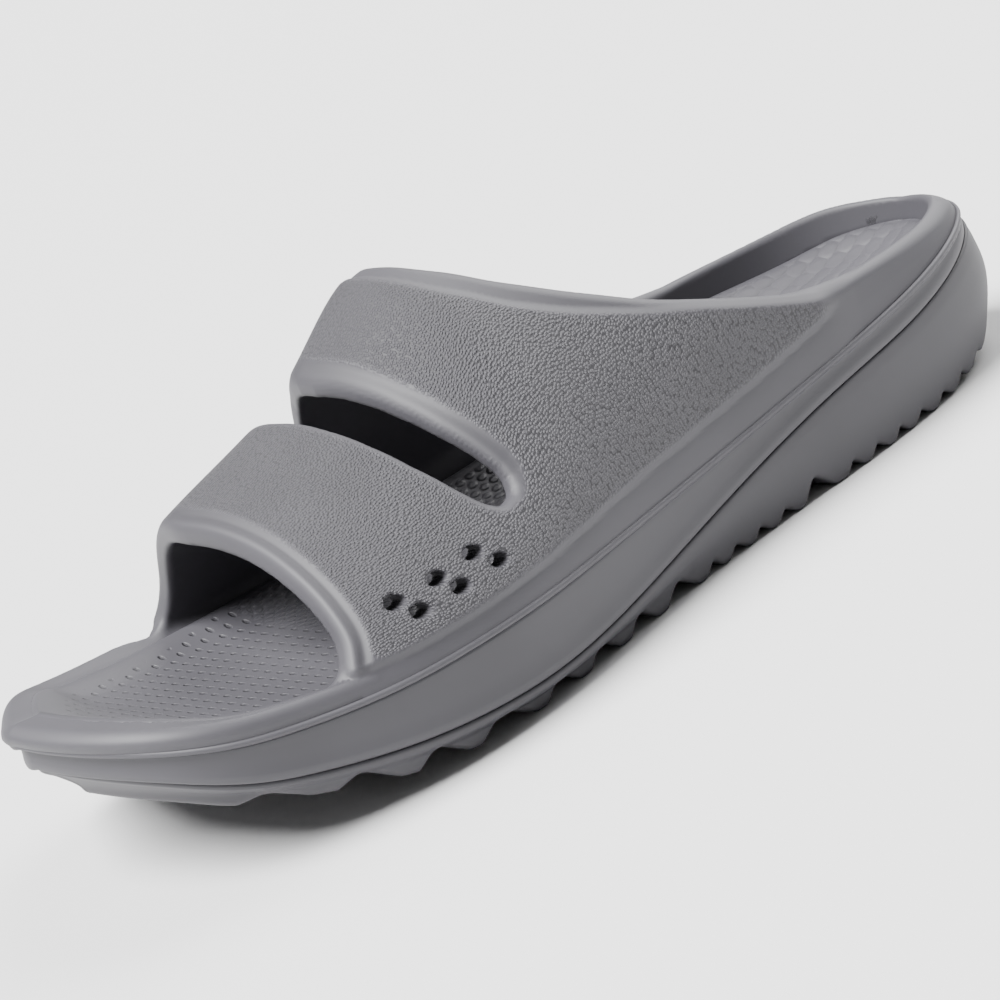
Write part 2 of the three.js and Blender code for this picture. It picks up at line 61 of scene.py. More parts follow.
ARCH_RISE = 8.5
MIDSOLE_FLOOR = 5.0
HEEL_POCKET = 7.0
STRAP_WALL = 4.6
OUTER_CURVE = 1.7
INNER_CURVE = 1.56
CREASE_INSET = 1.7
ROOT_REAR = 0.5  # a groove's flat root, as shares of the room between two lug tips
ROOT_FRONT = 0.64
LIP = 2.0  # how far the soles run in under the rim
ORIGIN = np.array([141.325, 1.53, 0.0])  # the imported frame's origin, in the lengths used here

# Looks
PANEL_STEP = 0.95  # panel above the lower strip
PANEL_ROUND = 5.0  # rounding of the panel's corners
COLLAR_BORDER = (1.7, 5.5)  # smooth border along the collar, at its rear and at the strap's top
TOE_BORDER = 3.4
SLOT_BORDER = (0.8, 2.8)  # smooth border in front of the slot and behind it
VALLEY = 0.7  # dip between the panel and the smooth bead along the toe opening and behind the slot
EDGE_ROUND = 2.2  # rounding of the straps' outer edges
INNER_ROUND = 1.6
VENT_ROUND = 0.6
RIM_ROUND = 2.2
RIM_LIFT = 0.35  # the rim's top above the solid's
RIM_SET_BACK = 2.6  # the rim's face behind the straps' face, where they cover it
STRAPS_FROM = 45.0
STRAPS_TO = 248.0
BEAD = 0.75  # radius of the parting bead
BEAD_SIDES = 8
PEBBLES = (1.36, 1.46, 1.0)  # to a millimetre, along the shoe and round the strap
PEBBLE_HEIGHT = 0.3
TEXTURE_DEPTH = 0.4  # of the footbed's pattern
FIELD_EDGE = 9.2  # where the footbed's pattern starts, inside the outline
VOXEL = 0.86  # cell of the grid that the upper is drawn on
STATIONS = 480  # points along each side of a ring
FOAM = (0.056, 0.054, 0.062)
FOOTBED_SHADE = 0.98  # the other pieces' colour, as a share of the upper's; the midsole's and outsole's lower shares are painted shade for their sides
MIDSOLE_PAINTED_SHADE = 0.9
OUTSOLE_PAINTED_SHADE = 0.82
SKIN = 0.02  # height of the foam's finest unevenness
MM = 0.001

# Share of the length, half widths as shares of the ball width, parting height as a share of the heel height,
# band as a share of the band height, tread as a share of the toe spring, footbed drop, rim height.
SECTIONS = [
    (0.0, 0.0, 0.0, 0.985, 0.2, 0.3975, 1.0, 0.8),
    (0.0211, 0.148, 0.136, 0.995, 0.22, 0.278, 1.0, 0.86),
    (0.0528, 0.237, 0.228, 0.985, 0.27, 0.199, 1.0, 1.03),
    (0.1056, 0.304, 0.306, 0.916, 0.34, 0.106, 0.97, 1.29),
    (0.1937, 0.35, 0.344, 0.818, 0.39, 0.0, 0.95, 1.93),
    (0.2993, 0.373, 0.334, 0.74, 0.4, 0.0, 1.02, 2.5),
    (0.4049, 0.391, 0.322, 0.673, 0.53, 0.0, 1.06, 2.32),
    (0.5106, 0.425, 0.336, 0.633, 0.757, 0.0, 1.06, 1.43),
    (0.5986, 0.468, 0.383, 0.624, 0.938, 0.0, 0.864, 1.07),
    (0.669, 0.502, 0.429, 0.627, 1.0, 0.0, 0.69, 0.96),
    (0.7394, 0.514, 0.469, 0.636, 0.958, 0.08, 0.52, 0.93),
    (0.81, 0.498, 0.486, 0.655, 0.833, 0.24, 0.35, 0.92),
    (0.8803, 0.45, 0.468, 0.711, 0.681, 0.59, 0.22, 0.95),
    (0.9225, 0.416, 0.428, 0.775, 0.58, 0.78, 0.17, 0.95),
    (0.9542, 0.362, 0.316, 0.845, 0.49, 0.87, 0.14, 0.92),
    (0.9771, 0.277, 0.202, 0.904, 0.42, 0.945, 0.125, 0.9),
    (1.0, -0.047, 0.047, 0.978, 0.37, 1.0, 0.125, 0.89),
]
COLUMNS = ("at", "outer", "inner", "parting", "band", "tread", "drop", "rim")
# How far the lug tips stand inside the outline: share of the length, millimetres.
TUCK = [
    (0.0, 4.5), (0.0211, 5.5), (0.0528, 5.6), (0.1056, 4.2), (0.1937, 2.3),
    (0.2993, 1.5), (0.4049, 2.4), (0.5106, 3.4), (0.5986, 4.3), (0.669, 5.2),
    (0.7394, 4.6), (0.8099, 3.5), (0.8803, 2.9), (0.9225, 5.5), (0.9542, 8.0),
    (0.9771, 9.5), (1.0, 10.5),
]

# Top of the straps: share of the length, share of the instep height.
CREST = [
    (0.2042, 1.36),
    (0.338, 1.28),
    (0.4401, 1.095),
    (0.4891, 1.033),
    (0.5565, 1.001),
    (0.581, 0.986),
    (0.6127, 0.924),
    (0.6443, 0.848),
    (0.676, 0.789),
    (0.7076, 0.751),
    (0.7464, 0.713),
    (0.7822, 0.676),
    (0.8098, 0.643),
    (0.9221, 0.526),
    (1.0, 0.429),
]
# Collar edge seen from the side: share of the length, share of the instep height.
COLLAR = [
    (0.1021, 0.439),
    (0.1937, 0.443),
    (0.2395, 0.458),
    (0.281, 0.487),
    (0.3204, 0.532),
    (0.3574, 0.58),
    (0.3915, 0.628),
    (0.4373, 0.699),
    (0.4634, 0.751),
    (0.4877, 0.801),
    (0.5091, 0.85),
    (0.5281, 0.897),
    (0.5436, 0.944),
    (0.5563, 0.982),
    (0.5619, 1.008),
]
# Edge of the toe opening: turn round the section from the outer foot, share of the length.
TOE_EDGE = [
    (0.03, 0.8433),
    (0.15, 0.8415),
    (0.25, 0.8388),
    (0.34, 0.8334),
    (0.44, 0.8261),
    (0.56, 0.8208),
    (0.7, 0.8162),
    (0.85, 0.8123),
    (1.05, 0.8081),
    (1.3, 0.8057),
    (1.55, 0.8042),
    (1.75, 0.8021),
    (2.0, 0.7933),
    (2.3, 0.7807),
    (2.5, 0.7736),
    (2.68, 0.7715),
    (2.85, 0.7782),
    (3.0, 0.7923),
    (3.1, 0.8011),
]
# Slot between the straps: turn, then its rear and front as shares of the length.
SLOT = [
    (0.475, 0.6465, 0.657),
    (0.49, 0.643, 0.662),
    (0.53, 0.6398, 0.6683),
    (0.57, 0.6394, 0.6722),
    (0.66, 0.6423, 0.6782),
    (0.84, 0.6496, 0.6863),
    (1.02, 0.6546, 0.6908),
    (1.22, 0.6574, 0.6937),
    (1.5, 0.6585, 0.6947),
    (1.75, 0.656, 0.6947),
    (1.95, 0.6493, 0.6937),
    (2.15, 0.6394, 0.6915),
    (2.35, 0.6324, 0.6873),
    (2.5, 0.631, 0.6831),
    (2.58, 0.6352, 0.6789),
    (2.62, 0.6458, 0.6711),
]
# Lower edge of the grained panel: share of the length, height above the parting line.
PANEL_EDGE = [
    (0.2553, 10.4),
    (0.4085, 9.0),
    (0.5616, 8.3),
    (0.6637, 6.6),
    (0.7658, 5.8),
    (0.8577, 6.2),
]
# Vent holes: share of the length, share of the instep height.
VENTS = [
    (0.7785, 0.426),
    (0.768, 0.388),
    (0.742, 0.427),
    (0.731, 0.389),
    (0.706, 0.434),
    (0.6922, 0.393),
]
VENT_LENGTH = 4.7
VENT_HEIGHT = 2.7
# Tread lugs: middle of the tip as a share of the length, its flat width, depth of the groove in front.
LUGS = [
    (0.0472, 2.6, 2.2),
    (0.0824, 2.8, 2.2),
    (0.1229, 3.0, 2.4),
    (0.1563, 3.0, 2.4),
    (0.1915, 2.8, 2.4),
    (0.2261, 2.6, 2.4),
    (0.2563, 2.6, 2.4),
    (0.2898, 2.6, 2.6),
    (0.3239, 4.4, 4.6),
    (0.3746, 2.2, 2.3),
    (0.407, 2.2, 2.3),
    (0.4366, 2.2, 2.3),
    (0.4683, 2.2, 2.5),
    (0.4979, 3.2, 3.9),
    (0.5507, 3.4, 3.9),
    (0.5975, 3.4, 3.9),
    (0.6465, 3.4, 3.9),
    (0.6972, 3.4, 3.9),
    (0.7641, 3.0, 3.6),
    (0.8197, 3.0, 3.0),
    (0.8796, 3.0, 2.4),
    (0.956, 12.0, 0.0),
]


def natural_curve(x, y):
    """Natural cubic spline through (x, y), sampled finely and read back between the samples."""
    x, y = np.asarray(x, float), np.asarray(y, float)
    n = len(x)
    h = np.diff(x)
    a = np.zeros((n, n))
    b = np.zeros(n)
    a[0, 0] = a[-1, -1] = 1
    for i in range(1, n - 1):
        a[i, i - 1], a[i, i], a[i, i + 1] = h[i - 1], 2 * (h[i - 1] + h[i]), h[i]
        b[i] = 6 * ((y[i + 1] - y[i]) / h[i] - (y[i] - y[i - 1]) / h[i - 1])
    m = np.linalg.solve(a, b)
    t = np.linspace(x[0], x[-1], 4001)
    i = np.clip(np.searchsorted(x, t, side="right") - 1, 0, n - 2)
    u, v = (x[i + 1] - t) / h[i], (t - x[i]) / h[i]
    values = u * y[i] + v * y[i + 1] + ((u**3 - u) * m[i] + (v**3 - v) * m[i + 1]) * h[i] ** 2 / 6
    return lambda q: np.interp(q, t, values)


def station(share):
    """Place along a ring's side, from 0 at the heel to 1 at the toe, crowded at both ends."""
    return np.arccos(1 - 2 * np.clip(share, 0, 1)) / math.pi


def smooth(a, b, q):
    """Rises smoothly from 0 at a to 1 at b."""
    t = np.clip((q - a) / (b - a), 0, 1)
    return t * t * (3 - 2 * t)


table = np.array(SECTIONS)
column = {name: natural_curve(station(table[:, 0]), table[:, k]) for k, name in enumerate(COLUMNS) if k}
tip_tuck = natural_curve(station(np.array(TUCK)[:, 0]), np.array(TUCK)[:, 1])
crest_share = natural_curve(*zip(*CREST))
panel_share = natural_curve(*zip(*PANEL_EDGE))


def outer_half(s):
    return BALL_WIDTH * column["outer"](s)


def inner_half(s):
    return BALL_WIDTH * column["inner"](s)


def parting(s):
    """Height of the line between the upper and the midsole."""
    return HEEL_HEIGHT * column["parting"](s)


def crease(s):
    """Height of the line between the midsole and the outsole."""
    return parting(s) - BAND_HEIGHT * column["band"](s)


def tread(s):
    return np.maximum(TOE_SPRING * column["tread"](s) - TREAD_FLAT, 0)


def rim_height(s):
    return RIM_HEIGHT * column["rim"](s)


def footbed_top(s):
    return parting(s) + RIM_HEIGHT - HEEL_POCKET * column["drop"](s)


def footbed_bottom(s):
    return footbed_top(s) - FOOTBED_THICKNESS


def sole_top(s):
    return np.minimum(crease(s), footbed_bottom(s) - MIDSOLE_FLOOR - 2 * GAP)


def heel_lean(s):
    """How far the sides lean inwards round the heel."""
    return HEEL_LEAN * np.exp(-((s / 0.17) ** 2))


def toe_tuck(s):
    """How far the sides tuck inwards round the toe."""
    return TOE_TUCK * np.exp(-(((1 - s) / 0.16) ** 2))


def rim_inside(s):
    """From the outline to the rim's inner wall."""
    return RIM_WIDTH + 1.2 * heel_lean(s)


def rim_top_inset(s):
    """From the outline to the outer edge of the rim's top."""
    return 1.4 + 0.14 * rim_height(s) + 1.6 * heel_lean(s) - 0.1 * toe_tuck(s)


def arch_rise(s):
    """Extra height of the footbed's inner edge along the arch."""
    share = (1 - np.cos(math.pi * s)) / 2
    return ARCH_RISE * smooth(0.06, 0.3, share) * (1 - smooth(0.45, 0.85, share))


def crest(x):
    return INSTEP_HEIGHT * crest_share(x / LENGTH)


def panel_above(x):
    return panel_share(x / LENGTH)


def ring_points(count):
    """Closed outline in plan, its outward normals and its stations: outer side, then the inner side back."""
    i = np.arange(2 * count)
    s = np.where(i <= count, i, 2 * count - i) / count
    x = LENGTH * (1 - np.cos(math.pi * s)) / 2
    y = np.where(i <= count, outer_half(s), -inner_half(s))
    p = np.stack([x, y], -1)
    along = np.roll(p, -1, 0) - np.roll(p, 1, 0)
    n = np.stack([-along[:, 1], along[:, 0]], -1)
    n /= np.linalg.norm(n, axis=1)[:, None]
    return p, n, s


def between(grid, x0, y0, step, x, y):
    """A grid's value at x, y, worked out from the four points round it."""
    fx = np.clip((x - x0) / step, 0, grid.shape[0] - 1.001)
    fy = np.clip((y - y0) / step, 0, grid.shape[1] - 1.001)
    i, j = fx.astype(int), fy.astype(int)
    u, v = fx - i, fy - j
    near = (1 - v) * grid[i, j] + v * grid[i, j + 1]
    far = (1 - v) * grid[i + 1, j] + v * grid[i + 1, j + 1]
    return (1 - u) * near + u * far


class Plan:
    """Distance inside the outline and the nearest outline point's station, looked up on a fine grid."""

    def __init__(self, step=1.0):
        p, n, s = ring_points(500)
        self.corner = (-8.0, -62.0, step)
        gx = np.arange(self.corner[0], LENGTH + 8, step)
        gy = np.arange(self.corner[1], 66, step)
        q = np.stack(np.meshgrid(gx, gy, indexing="ij"), -1).reshape(-1, 2)
        where = np.zeros(len(q), int)
        for k in range(0, len(q), 4000):
            d2 = ((q[k:k + 4000, None] - p[None]) ** 2).sum(-1)
            where[k:k + 4000] = d2.argmin(1)
        distance = np.full(len(q), 1e9)
        near = s[where].copy()
        for step_to in (-1, 1):
            a, b = p[where], p[(where + step_to) % len(p)]
            ab = b - a
            t = np.clip(((q - a) * ab).sum(1) / (ab * ab).sum(1), 0, 1)
            d = np.linalg.norm(q - a - ab * t[:, None], axis=1)
            better = d < distance
            distance = np.where(better, d, distance)
            near = np.where(better, s[where] + t * (s[(where + step_to) % len(p)] - s[where]), near)
        inside = ((q - p[where]) * n[where]).sum(1) < 0
        self.d = np.where(inside, distance, -distance).reshape(len(gx), len(gy))
        self.s = near.reshape(len(gx), len(gy))

    def __call__(self, x, y):
        return [between(grid, *self.corner, x, y) for grid in (self.d, self.s)]


plan = Plan()


def polyline_distance(px, py, line):
    """Distance from points to a polyline given as (x, y) rows."""
    line = np.asarray(line, float)
    best = np.full(px.shape, 1e9)
    for a, b in zip(line[:-1], line[1:]):
        ab = b - a
        t = np.clip(((px - a[0]) * ab[0] + (py - a[1]) * ab[1]) / (ab @ ab), 0, 1)
        best = np.minimum(best, np.hypot(px - a[0] - t * ab[0], py - a[1] - t * ab[1]))
    return best


def inside_polygon(px, py, loop):
    loop = np.asarray(loop, float)
    odd = np.zeros(px.shape, bool)
    for (x1, y1), (x2, y2) in zip(loop, np.roll(loop, -1, 0)):
        crosses = (y1 > py) != (y2 > py)
        with np.errstate(divide="ignore", invalid="ignore"):
            at = (x2 - x1) * (py - y1) / (y2 - y1) + x1
        odd ^= crosses & (px < at)
    return odd


class Lookup:
    """A signed distance drawn once on a plane and read back between its grid points."""

    def __init__(self, x0, x1, y0, y1, step, make):
        self.corner = (x0, y0, step)
        gx, gy = np.arange(x0, x1 + step, step), np.arange(y0, y1 + step, step)
        self.grid = make(*np.meshgrid(gx, gy, indexing="ij"))

    def __call__(self, x, y):
        return between(self.grid, *self.corner, x, y)


def fine(rows, first, last, count):
    """A table's curve sampled finely, as (x, y) rows."""
    xs, ys = zip(*rows)
    f = natural_curve(xs, ys)
    t = np.linspace(first, last, count)
    return list(zip(t, f(t)))


def collar_plane(a, b):
    """Inside the collar's opening, seen from the side."""
    rows = fine(COLLAR, COLLAR[0][0], COLLAR[-1][0], 120)
    edge = [(LENGTH * at, INSTEP_HEIGHT * rise) for at, rise in rows]
    line = [(-60, edge[0][1])] + edge + [(edge[-1][0] + 0.6, 140.0)]
    loop = line + [(-60, 140.0)]
    d = polyline_distance(a, b, line)
    return np.where(inside_polygon(a, b, loop), d, -d)


collar_cut = Lookup(-10, 300, 0, 110, 0.5, collar_plane)


def section_arc():
    """Arc length round the straps' section from the outer foot, against turn, at the slot."""
    turn = np.linspace(0, math.pi, 400)
    x = 190.0
    s = station(x / LENGTH)
    base, height = parting(s), crest(x) - parting(s)
    foot = np.where(turn < math.pi / 2, outer_half(s), -inner_half(s))
    p = np.where(turn < math.pi / 2, OUTER_CURVE, INNER_CURVE)
    c, w = np.cos(turn), np.sin(turn)
    y = CREST_Y + np.abs(foot - CREST_Y) * np.abs(c) ** (2 / p) * np.sign(c)
    z = base + height * np.maximum(w, 0) ** (2 / p)
    length = np.concatenate([[0], np.cumsum(np.hypot(np.diff(y), np.diff(z)))])
    return turn, length


ARC_TURN, ARC_LENGTH = section_arc()


def arc(turn):
    """Length round the strap at a turn."""
    return np.interp(turn, ARC_TURN, ARC_LENGTH)


def slot_plane(a, b):
    """Inside the slot, on the strap's face laid flat."""
    arcs = np.array([arc(row[0]) for row in SLOT])
    t = arcs[0] + (arcs[-1] - arcs[0]) * (1 - np.cos(np.pi * np.linspace(0, 1, 160))) / 2
    rear = np.interp(t, arcs, [LENGTH * row[1] for row in SLOT])
    front = np.interp(t, arcs, [LENGTH * row[2] for row in SLOT])
    loop = list(zip(rear, t)) + list(zip(front, t))[::-1]
    d = polyline_distance(a, b, loop + [loop[0]])
    return np.where(inside_polygon(a, b, loop), d, -d)


slot_cut = Lookup(165, 215, 0, 200, 0.5, slot_plane)
SLOT_ARC = [float(arc(turn)) for turn, _, _ in SLOT]
SLOT_MIDDLE = [LENGTH * (rear + front) / 2 for _, rear, front in SLOT]


def toe_plane(a, b):
    """In front of the toe opening's edge, on the strap's face laid flat."""
    line = [(LENGTH * edge, arc(t)) for t, edge in fine(TOE_EDGE, TOE_EDGE[0][0], TOE_EDGE[-1][0], 160)]
    line = [(line[0][0], -40)] + line + [(line[-1][0], 240)]
    loop = line + [(340, 240), (340, -40)]
    d = polyline_distance(a, b, line)
    return np.where(inside_polygon(a, b, loop), d, -d)


toe_cut = Lookup(150, 270, 0, 200, 0.5, toe_plane)


def round_cut(a, b, r):
    """Intersection of two fields with a rounded edge."""
    u, v = np.maximum(a + r, 0), np.maximum(b + r, 0)
    return np.minimum(np.maximum(a, b), -r) + np.hypot(u, v)


def round_join(a, b, r):
    """Union of two fields with a fillet."""
    u, v = np.maximum(r - a, 0), np.maximum(r - b, 0)
    return np.maximum(np.minimum(a, b), r) - np.hypot(u, v)


def arch(x, y, z, shrink):
    """Signed distance to the straps' arch, shrunk by a wall, and the turn round its section."""
    x = np.clip(x, 40, 250)
    ds = 0.5
    s, s2 = station(x / LENGTH), station((x + ds) / LENGTH)
    side = y >= CREST_Y
    foot = np.where(side, outer_half(s), inner_half(s))
    foot2 = np.where(side, outer_half(s2), inner_half(s2))
    offset = np.where(side, -CREST_Y, CREST_Y)
    reach, reach2 = foot + offset - shrink, foot2 + offset - shrink
    base, base2 = parting(s), parting(s2)
    height, height2 = crest(x) - base - shrink, crest(x + ds) - base2 - shrink
    p = np.where(side, OUTER_CURVE, INNER_CURVE)
    soft = 0.1
    u0 = np.abs(y - CREST_Y) / reach
    u = (np.sqrt(u0 * u0 + soft * soft) - soft) / (math.sqrt(1 + soft * soft) - soft)
    w = np.maximum(z - base, 0) / height
    f = (u**p + w**p + 1e-12) ** (1 / p)
    fu = (u / f) ** (p - 1) / (math.sqrt(1 + soft * soft) - soft) * u0 / np.sqrt(u0 * u0 + soft * soft)
    fw = (w / f) ** (p - 1)
    gx = -(fu * u0 * (reach2 - reach) / reach + fw * (w * (height2 - height) + (base2 - base)) / height) / ds
    size = np.sqrt((fu / reach) ** 2 + (fw / height) ** 2 + gx**2)
    distance = (f - 1) / np.maximum(size, 1e-3)
    turn = np.arctan2(w ** (p / 2), u0 ** (p / 2))
    turn = np.where(side, turn, math.pi - turn)
    return distance, turn


OUTER_SIDE = 0.9  # turns up to which a point is on the straps' outer side, and from which on the inner side
INNER_SIDE = 2.4
FAR = 40.0  # further from an edge than anything is


def mix(ends, share):
    return ends[0] + (ends[1] - ends[0]) * share


def panel_insets(x, z, turn, s):
    """Distances inside the grained panel from each of its edges, and how far behind the slot a point is."""
    length = arc(turn)
    collar = -collar_cut(x, z) - mix(COLLAR_BORDER, smooth(110, 155, x))
    toe = -toe_cut(x, length) - TOE_BORDER
    behind = 1 - smooth(-9, 1, x - np.interp(length, SLOT_ARC, SLOT_MIDDLE))
    slot = -slot_cut(x, length) - mix(SLOT_BORDER, behind)
    below = np.abs(z - parting(s)) - panel_above(x)
    low = np.where((turn < OUTER_SIDE) | (turn > INNER_SIDE), below, FAR)
    return collar, toe, slot, low, behind


def round_meet(a, b, r):
    """The smaller of two distances inside, with a rounded corner between them."""
    return -round_cut(-a, -b, r)


def rim_part(x, z, inset, s):
    """The rim's ring and its underside: outer face, round top and inner face that slopes where it is low."""
    base = parting(s)
    rim = rim_height(s) + RIM_LIFT
    lean, toe_in = 1.25 * heel_lean(s), toe_tuck(s)
    h = z - base

    # Outer face: its inset at the foot, half way up and at the top
    t = np.clip(h / rim, 0, 1.3)
    upright = smooth(40, 80, x)
    first = 0.2 + lean + 0.15 * toe_in
    second = (0.6 + 0.06 * rim + 1.2 * lean) * (1 - 0.4 * upright)
    third = (rim_top_inset(s) + 0.2 * lean) * (1 - 0.5 * upright)
    out = np.where(t < 0.5, first + (second - first) * 2 * t, second + (third - second) * (2 * t - 1))
    out += RIM_SET_BACK * smooth(70, 106, x) * (1 - smooth(222, 234, x))
    out -= 0.17 * toe_in * np.sin(math.pi * np.minimum(t, 1))

    # Inner face: upright at the footbed, narrower above it where the rim stands high
    wide = rim_inside(s)
    bed = footbed_top(s) + 0.5
    standing = base + rim - bed
    narrow = wide + (np.minimum(rim_top_inset(s) + 3.6, wide - 0.2) - wide) * smooth(2.5, 5.5, standing)
    width = wide + (narrow - wide) * np.clip((z - bed) / np.maximum(standing - 0.8, 0.5), 0, 1)
    sloping = np.maximum(standing + 0.55, 0) * smooth(third, wide, inset) * (1 - smooth(3.0, 6.0, standing))
    band = round_cut(out - inset, h - rim + sloping, RIM_ROUND + 0.5 * lean)
    band = round_cut(band, inset - width, 0.5 + 1.2 * smooth(2.0, 6.0, standing))
    keel = base - (base - footbed_bottom(s)) * np.clip(inset / wide, 0, 1) - z
    return band, keel


def upper_parts(x, y, z):
    """The upper's field, and each point's depth in the panel, place in the valley, valley share and arc."""
    inset, s = plan(x, y)
    band, keel = rim_part(x, z, inset, s)

    # The straps: arch, raised panel, openings, vents
    outer, turn = arch(x, y, z, 0.0)
    inner, _ = arch(x, y, z, STRAP_WALL)
    outer = outer + 6.0 * (1 - smooth(46, 84, x))
    collar, toe, slot, low, behind = panel_insets(x, z, turn, s)
    length = arc(turn)
    panel = round_meet(collar, low, PANEL_ROUND)
    face = outer - PANEL_STEP * smooth(-1.1, 1.1, panel)
    opening = np.maximum(collar_cut(x, z), np.maximum(toe_cut(x, length), slot_cut(x, length)))
    wall = round_cut(face, opening, EDGE_ROUND)
    wall = round_cut(wall, -inner, INNER_ROUND)
    for at, rise in VENTS:
        a, b = x - LENGTH * at, z - INSTEP_HEIGHT * rise
        along, up = a * 0.995 + b * 0.1, b * 0.995 - a * 0.1
        r = np.sqrt((along / (VENT_LENGTH / 2)) ** 2 + (up / (VENT_HEIGHT / 2)) ** 2 + 1e-9)
        wall = round_cut(wall, np.where(y > 20, (1 - r) * VENT_HEIGHT / 2, -20), VENT_ROUND)
    wall = np.maximum(wall, np.maximum(STRAPS_FROM - x, x - STRAPS_TO))

    # The fillet where the straps stand on the rim: wide inside, and outside only at the rear
    fillet = 0.05 + 4.0 * smooth(2.0, 5.5, inset) * smooth(47, 90, x)
    fillet += 1.6 * smooth(47, 80, x) * (1 - smooth(88, 140, x))
    field = np.maximum(round_join(wall, band, fillet), keel)
    grained = np.minimum(round_meet(panel, toe, 4.0), slot)
    ringed = smooth(-2.0, 2.0, low) * np.where(slot < toe, behind, 1.0)
    return field, grained, np.minimum(toe, slot), ringed, length


def upper_field(x, y, z):
    return upper_parts(x, y, z)[0]


def extract(field, lo, hi, h):
    """Surface nets: one vertex in each cell that the surface crosses, then pulled onto the surface."""
    axes = [np.arange(lo[k], hi[k] + h, h) for k in range(3)]
    shape = tuple(len(a) for a in axes)
    v = np.empty(shape)
    y, z = np.meshgrid(axes[1], axes[2], indexing="ij")
    for i in range(0, shape[0], 24):
        xs = axes[0][i:i + 24]
        size = (len(xs), *y.shape)
        block = [np.broadcast_to(a, size).ravel() for a in (xs[:, None, None], y[None], z[None])]
        v[i:i + 24] = field(*block).reshape(size)
    inside = v < 0
    count = np.zeros(tuple(n - 1 for n in shape), int)
    corners = [(a, b, c) for a in (0, 1) for b in (0, 1) for c in (0, 1)]

    def corner(grid, c):
        return grid[c[0]:shape[0] - 1 + c[0], c[1]:shape[1] - 1 + c[1], c[2]:shape[2] - 1 + c[2]]

    for c in corners:
        count += corner(inside, c)
    mask = (count > 0) & (count < 8)
    index = np.full(mask.shape, -1)
    index[mask] = np.arange(mask.sum())
    cells = np.argwhere(mask)
    total, hits = np.zeros((len(cells), 3)), np.zeros(len(cells))
    values = {c: corner(v, c)[mask] for c in corners}
    for a in corners:
        for k in range(3):
            if a[k]:
                continue
            b = tuple(1 if m == k else a[m] for m in range(3))
            va, vb = values[a], values[b]
            crossing = (va < 0) != (vb < 0)
            t = np.where(crossing, va / np.where(crossing, va - vb, 1), 0)
            point = np.array(a, float)[None] + t[:, None] * np.eye(3)[k][None]
            total += np.where(crossing[:, None], point, 0)
            hits += crossing
    verts = np.array([axes[k][0] for k in range(3)]) + h * (cells + total / hits[:, None])
    quads = []
    for k in range(3):
        u, w = (k + 1) % 3, (k + 2) % 3
        first = [slice(1, -1)] * 3
        second = [slice(1, -1)] * 3
        first[k], second[k] = slice(0, -1), slice(1, None)
        a, b = inside[tuple(first)], inside[tuple(second)]
        at = np.argwhere(a != b)
        turned = a[tuple(at.T)]
        at = at.copy()
        for m in range(3):
            if m != k:
                at[:, m] += 1
        ring = []
        for du, dw in ((-1, -1), (0, -1), (0, 0), (-1, 0)):
            q = at.copy()
            q[:, u] += du
            q[:, w] += dw
            ring.append(index[q[:, 0], q[:, 1], q[:, 2]])
        ring = np.stack(ring, -1)
        ring[~turned] = ring[~turned][:, ::-1]
        quads.append(ring)
    quads = np.concatenate(quads)
    return verts, quads[(quads >= 0).all(1)]


def gradient(field, p, e=0.12):
    """The field's slope at each point."""
    g = np.empty_like(p)
    for k in range(3):
        d = np.zeros(3)
        d[k] = e
        g[:, k] = field(*(p + d).T) - field(*(p - d).T)
    return g / (2 * e)


def pull(field, p, rounds, reach):
    """Moves points onto the field's surface, by a few steps and no further than the reach."""
    start = p.copy()
    for _ in range(rounds):
        g = gradient(field, p)
        f = field(*p.T)
        p = p - g * (f / np.maximum((g * g).sum(1), 0.2))[:, None]
        off = p - start
        far = np.linalg.norm(off, axis=1)
        p = start + off * np.minimum(1, reach / np.maximum(far, 1e-9))[:, None]
    return p


def make_object(name, verts, faces, normals=None, **attributes):
    """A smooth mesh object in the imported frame, from points in millimetres and faces of one size."""
    faces = np.asarray(faces)
    mesh = bpy.data.meshes.new(name)
    mesh.vertices.add(len(verts))
    mesh.vertices.foreach_set("co", ((verts - ORIGIN) / 1000).astype(np.float32).ravel())
    sides = faces.shape[1]
    mesh.loops.add(faces.size)
    mesh.loops.foreach_set("vertex_index", faces.astype(np.int32).ravel())
    mesh.polygons.add(len(faces))
    mesh.polygons.foreach_set("loop_start", np.arange(0, faces.size, sides, dtype=np.int32))
    mesh.polygons.foreach_set("use_smooth", np.ones(len(faces), bool))
    mesh.update(calc_edges=True)
    mesh.validate()
    for key, values in attributes.items():
        values = np.asarray(values, np.float32)
        kind = "FLOAT_VECTOR" if values.ndim == 2 else "FLOAT"
        layer = mesh.attributes.new(key, kind, "POINT")
        layer.data.foreach_set("vector" if values.ndim == 2 else "value", values.ravel())
    if normals is not None:
        mesh.normals_split_custom_set_from_vertices(normals.astype(np.float32).tolist())
    thing = bpy.data.objects.new(name, mesh)
    bpy.context.scene.collection.objects.link(thing)
    return thing


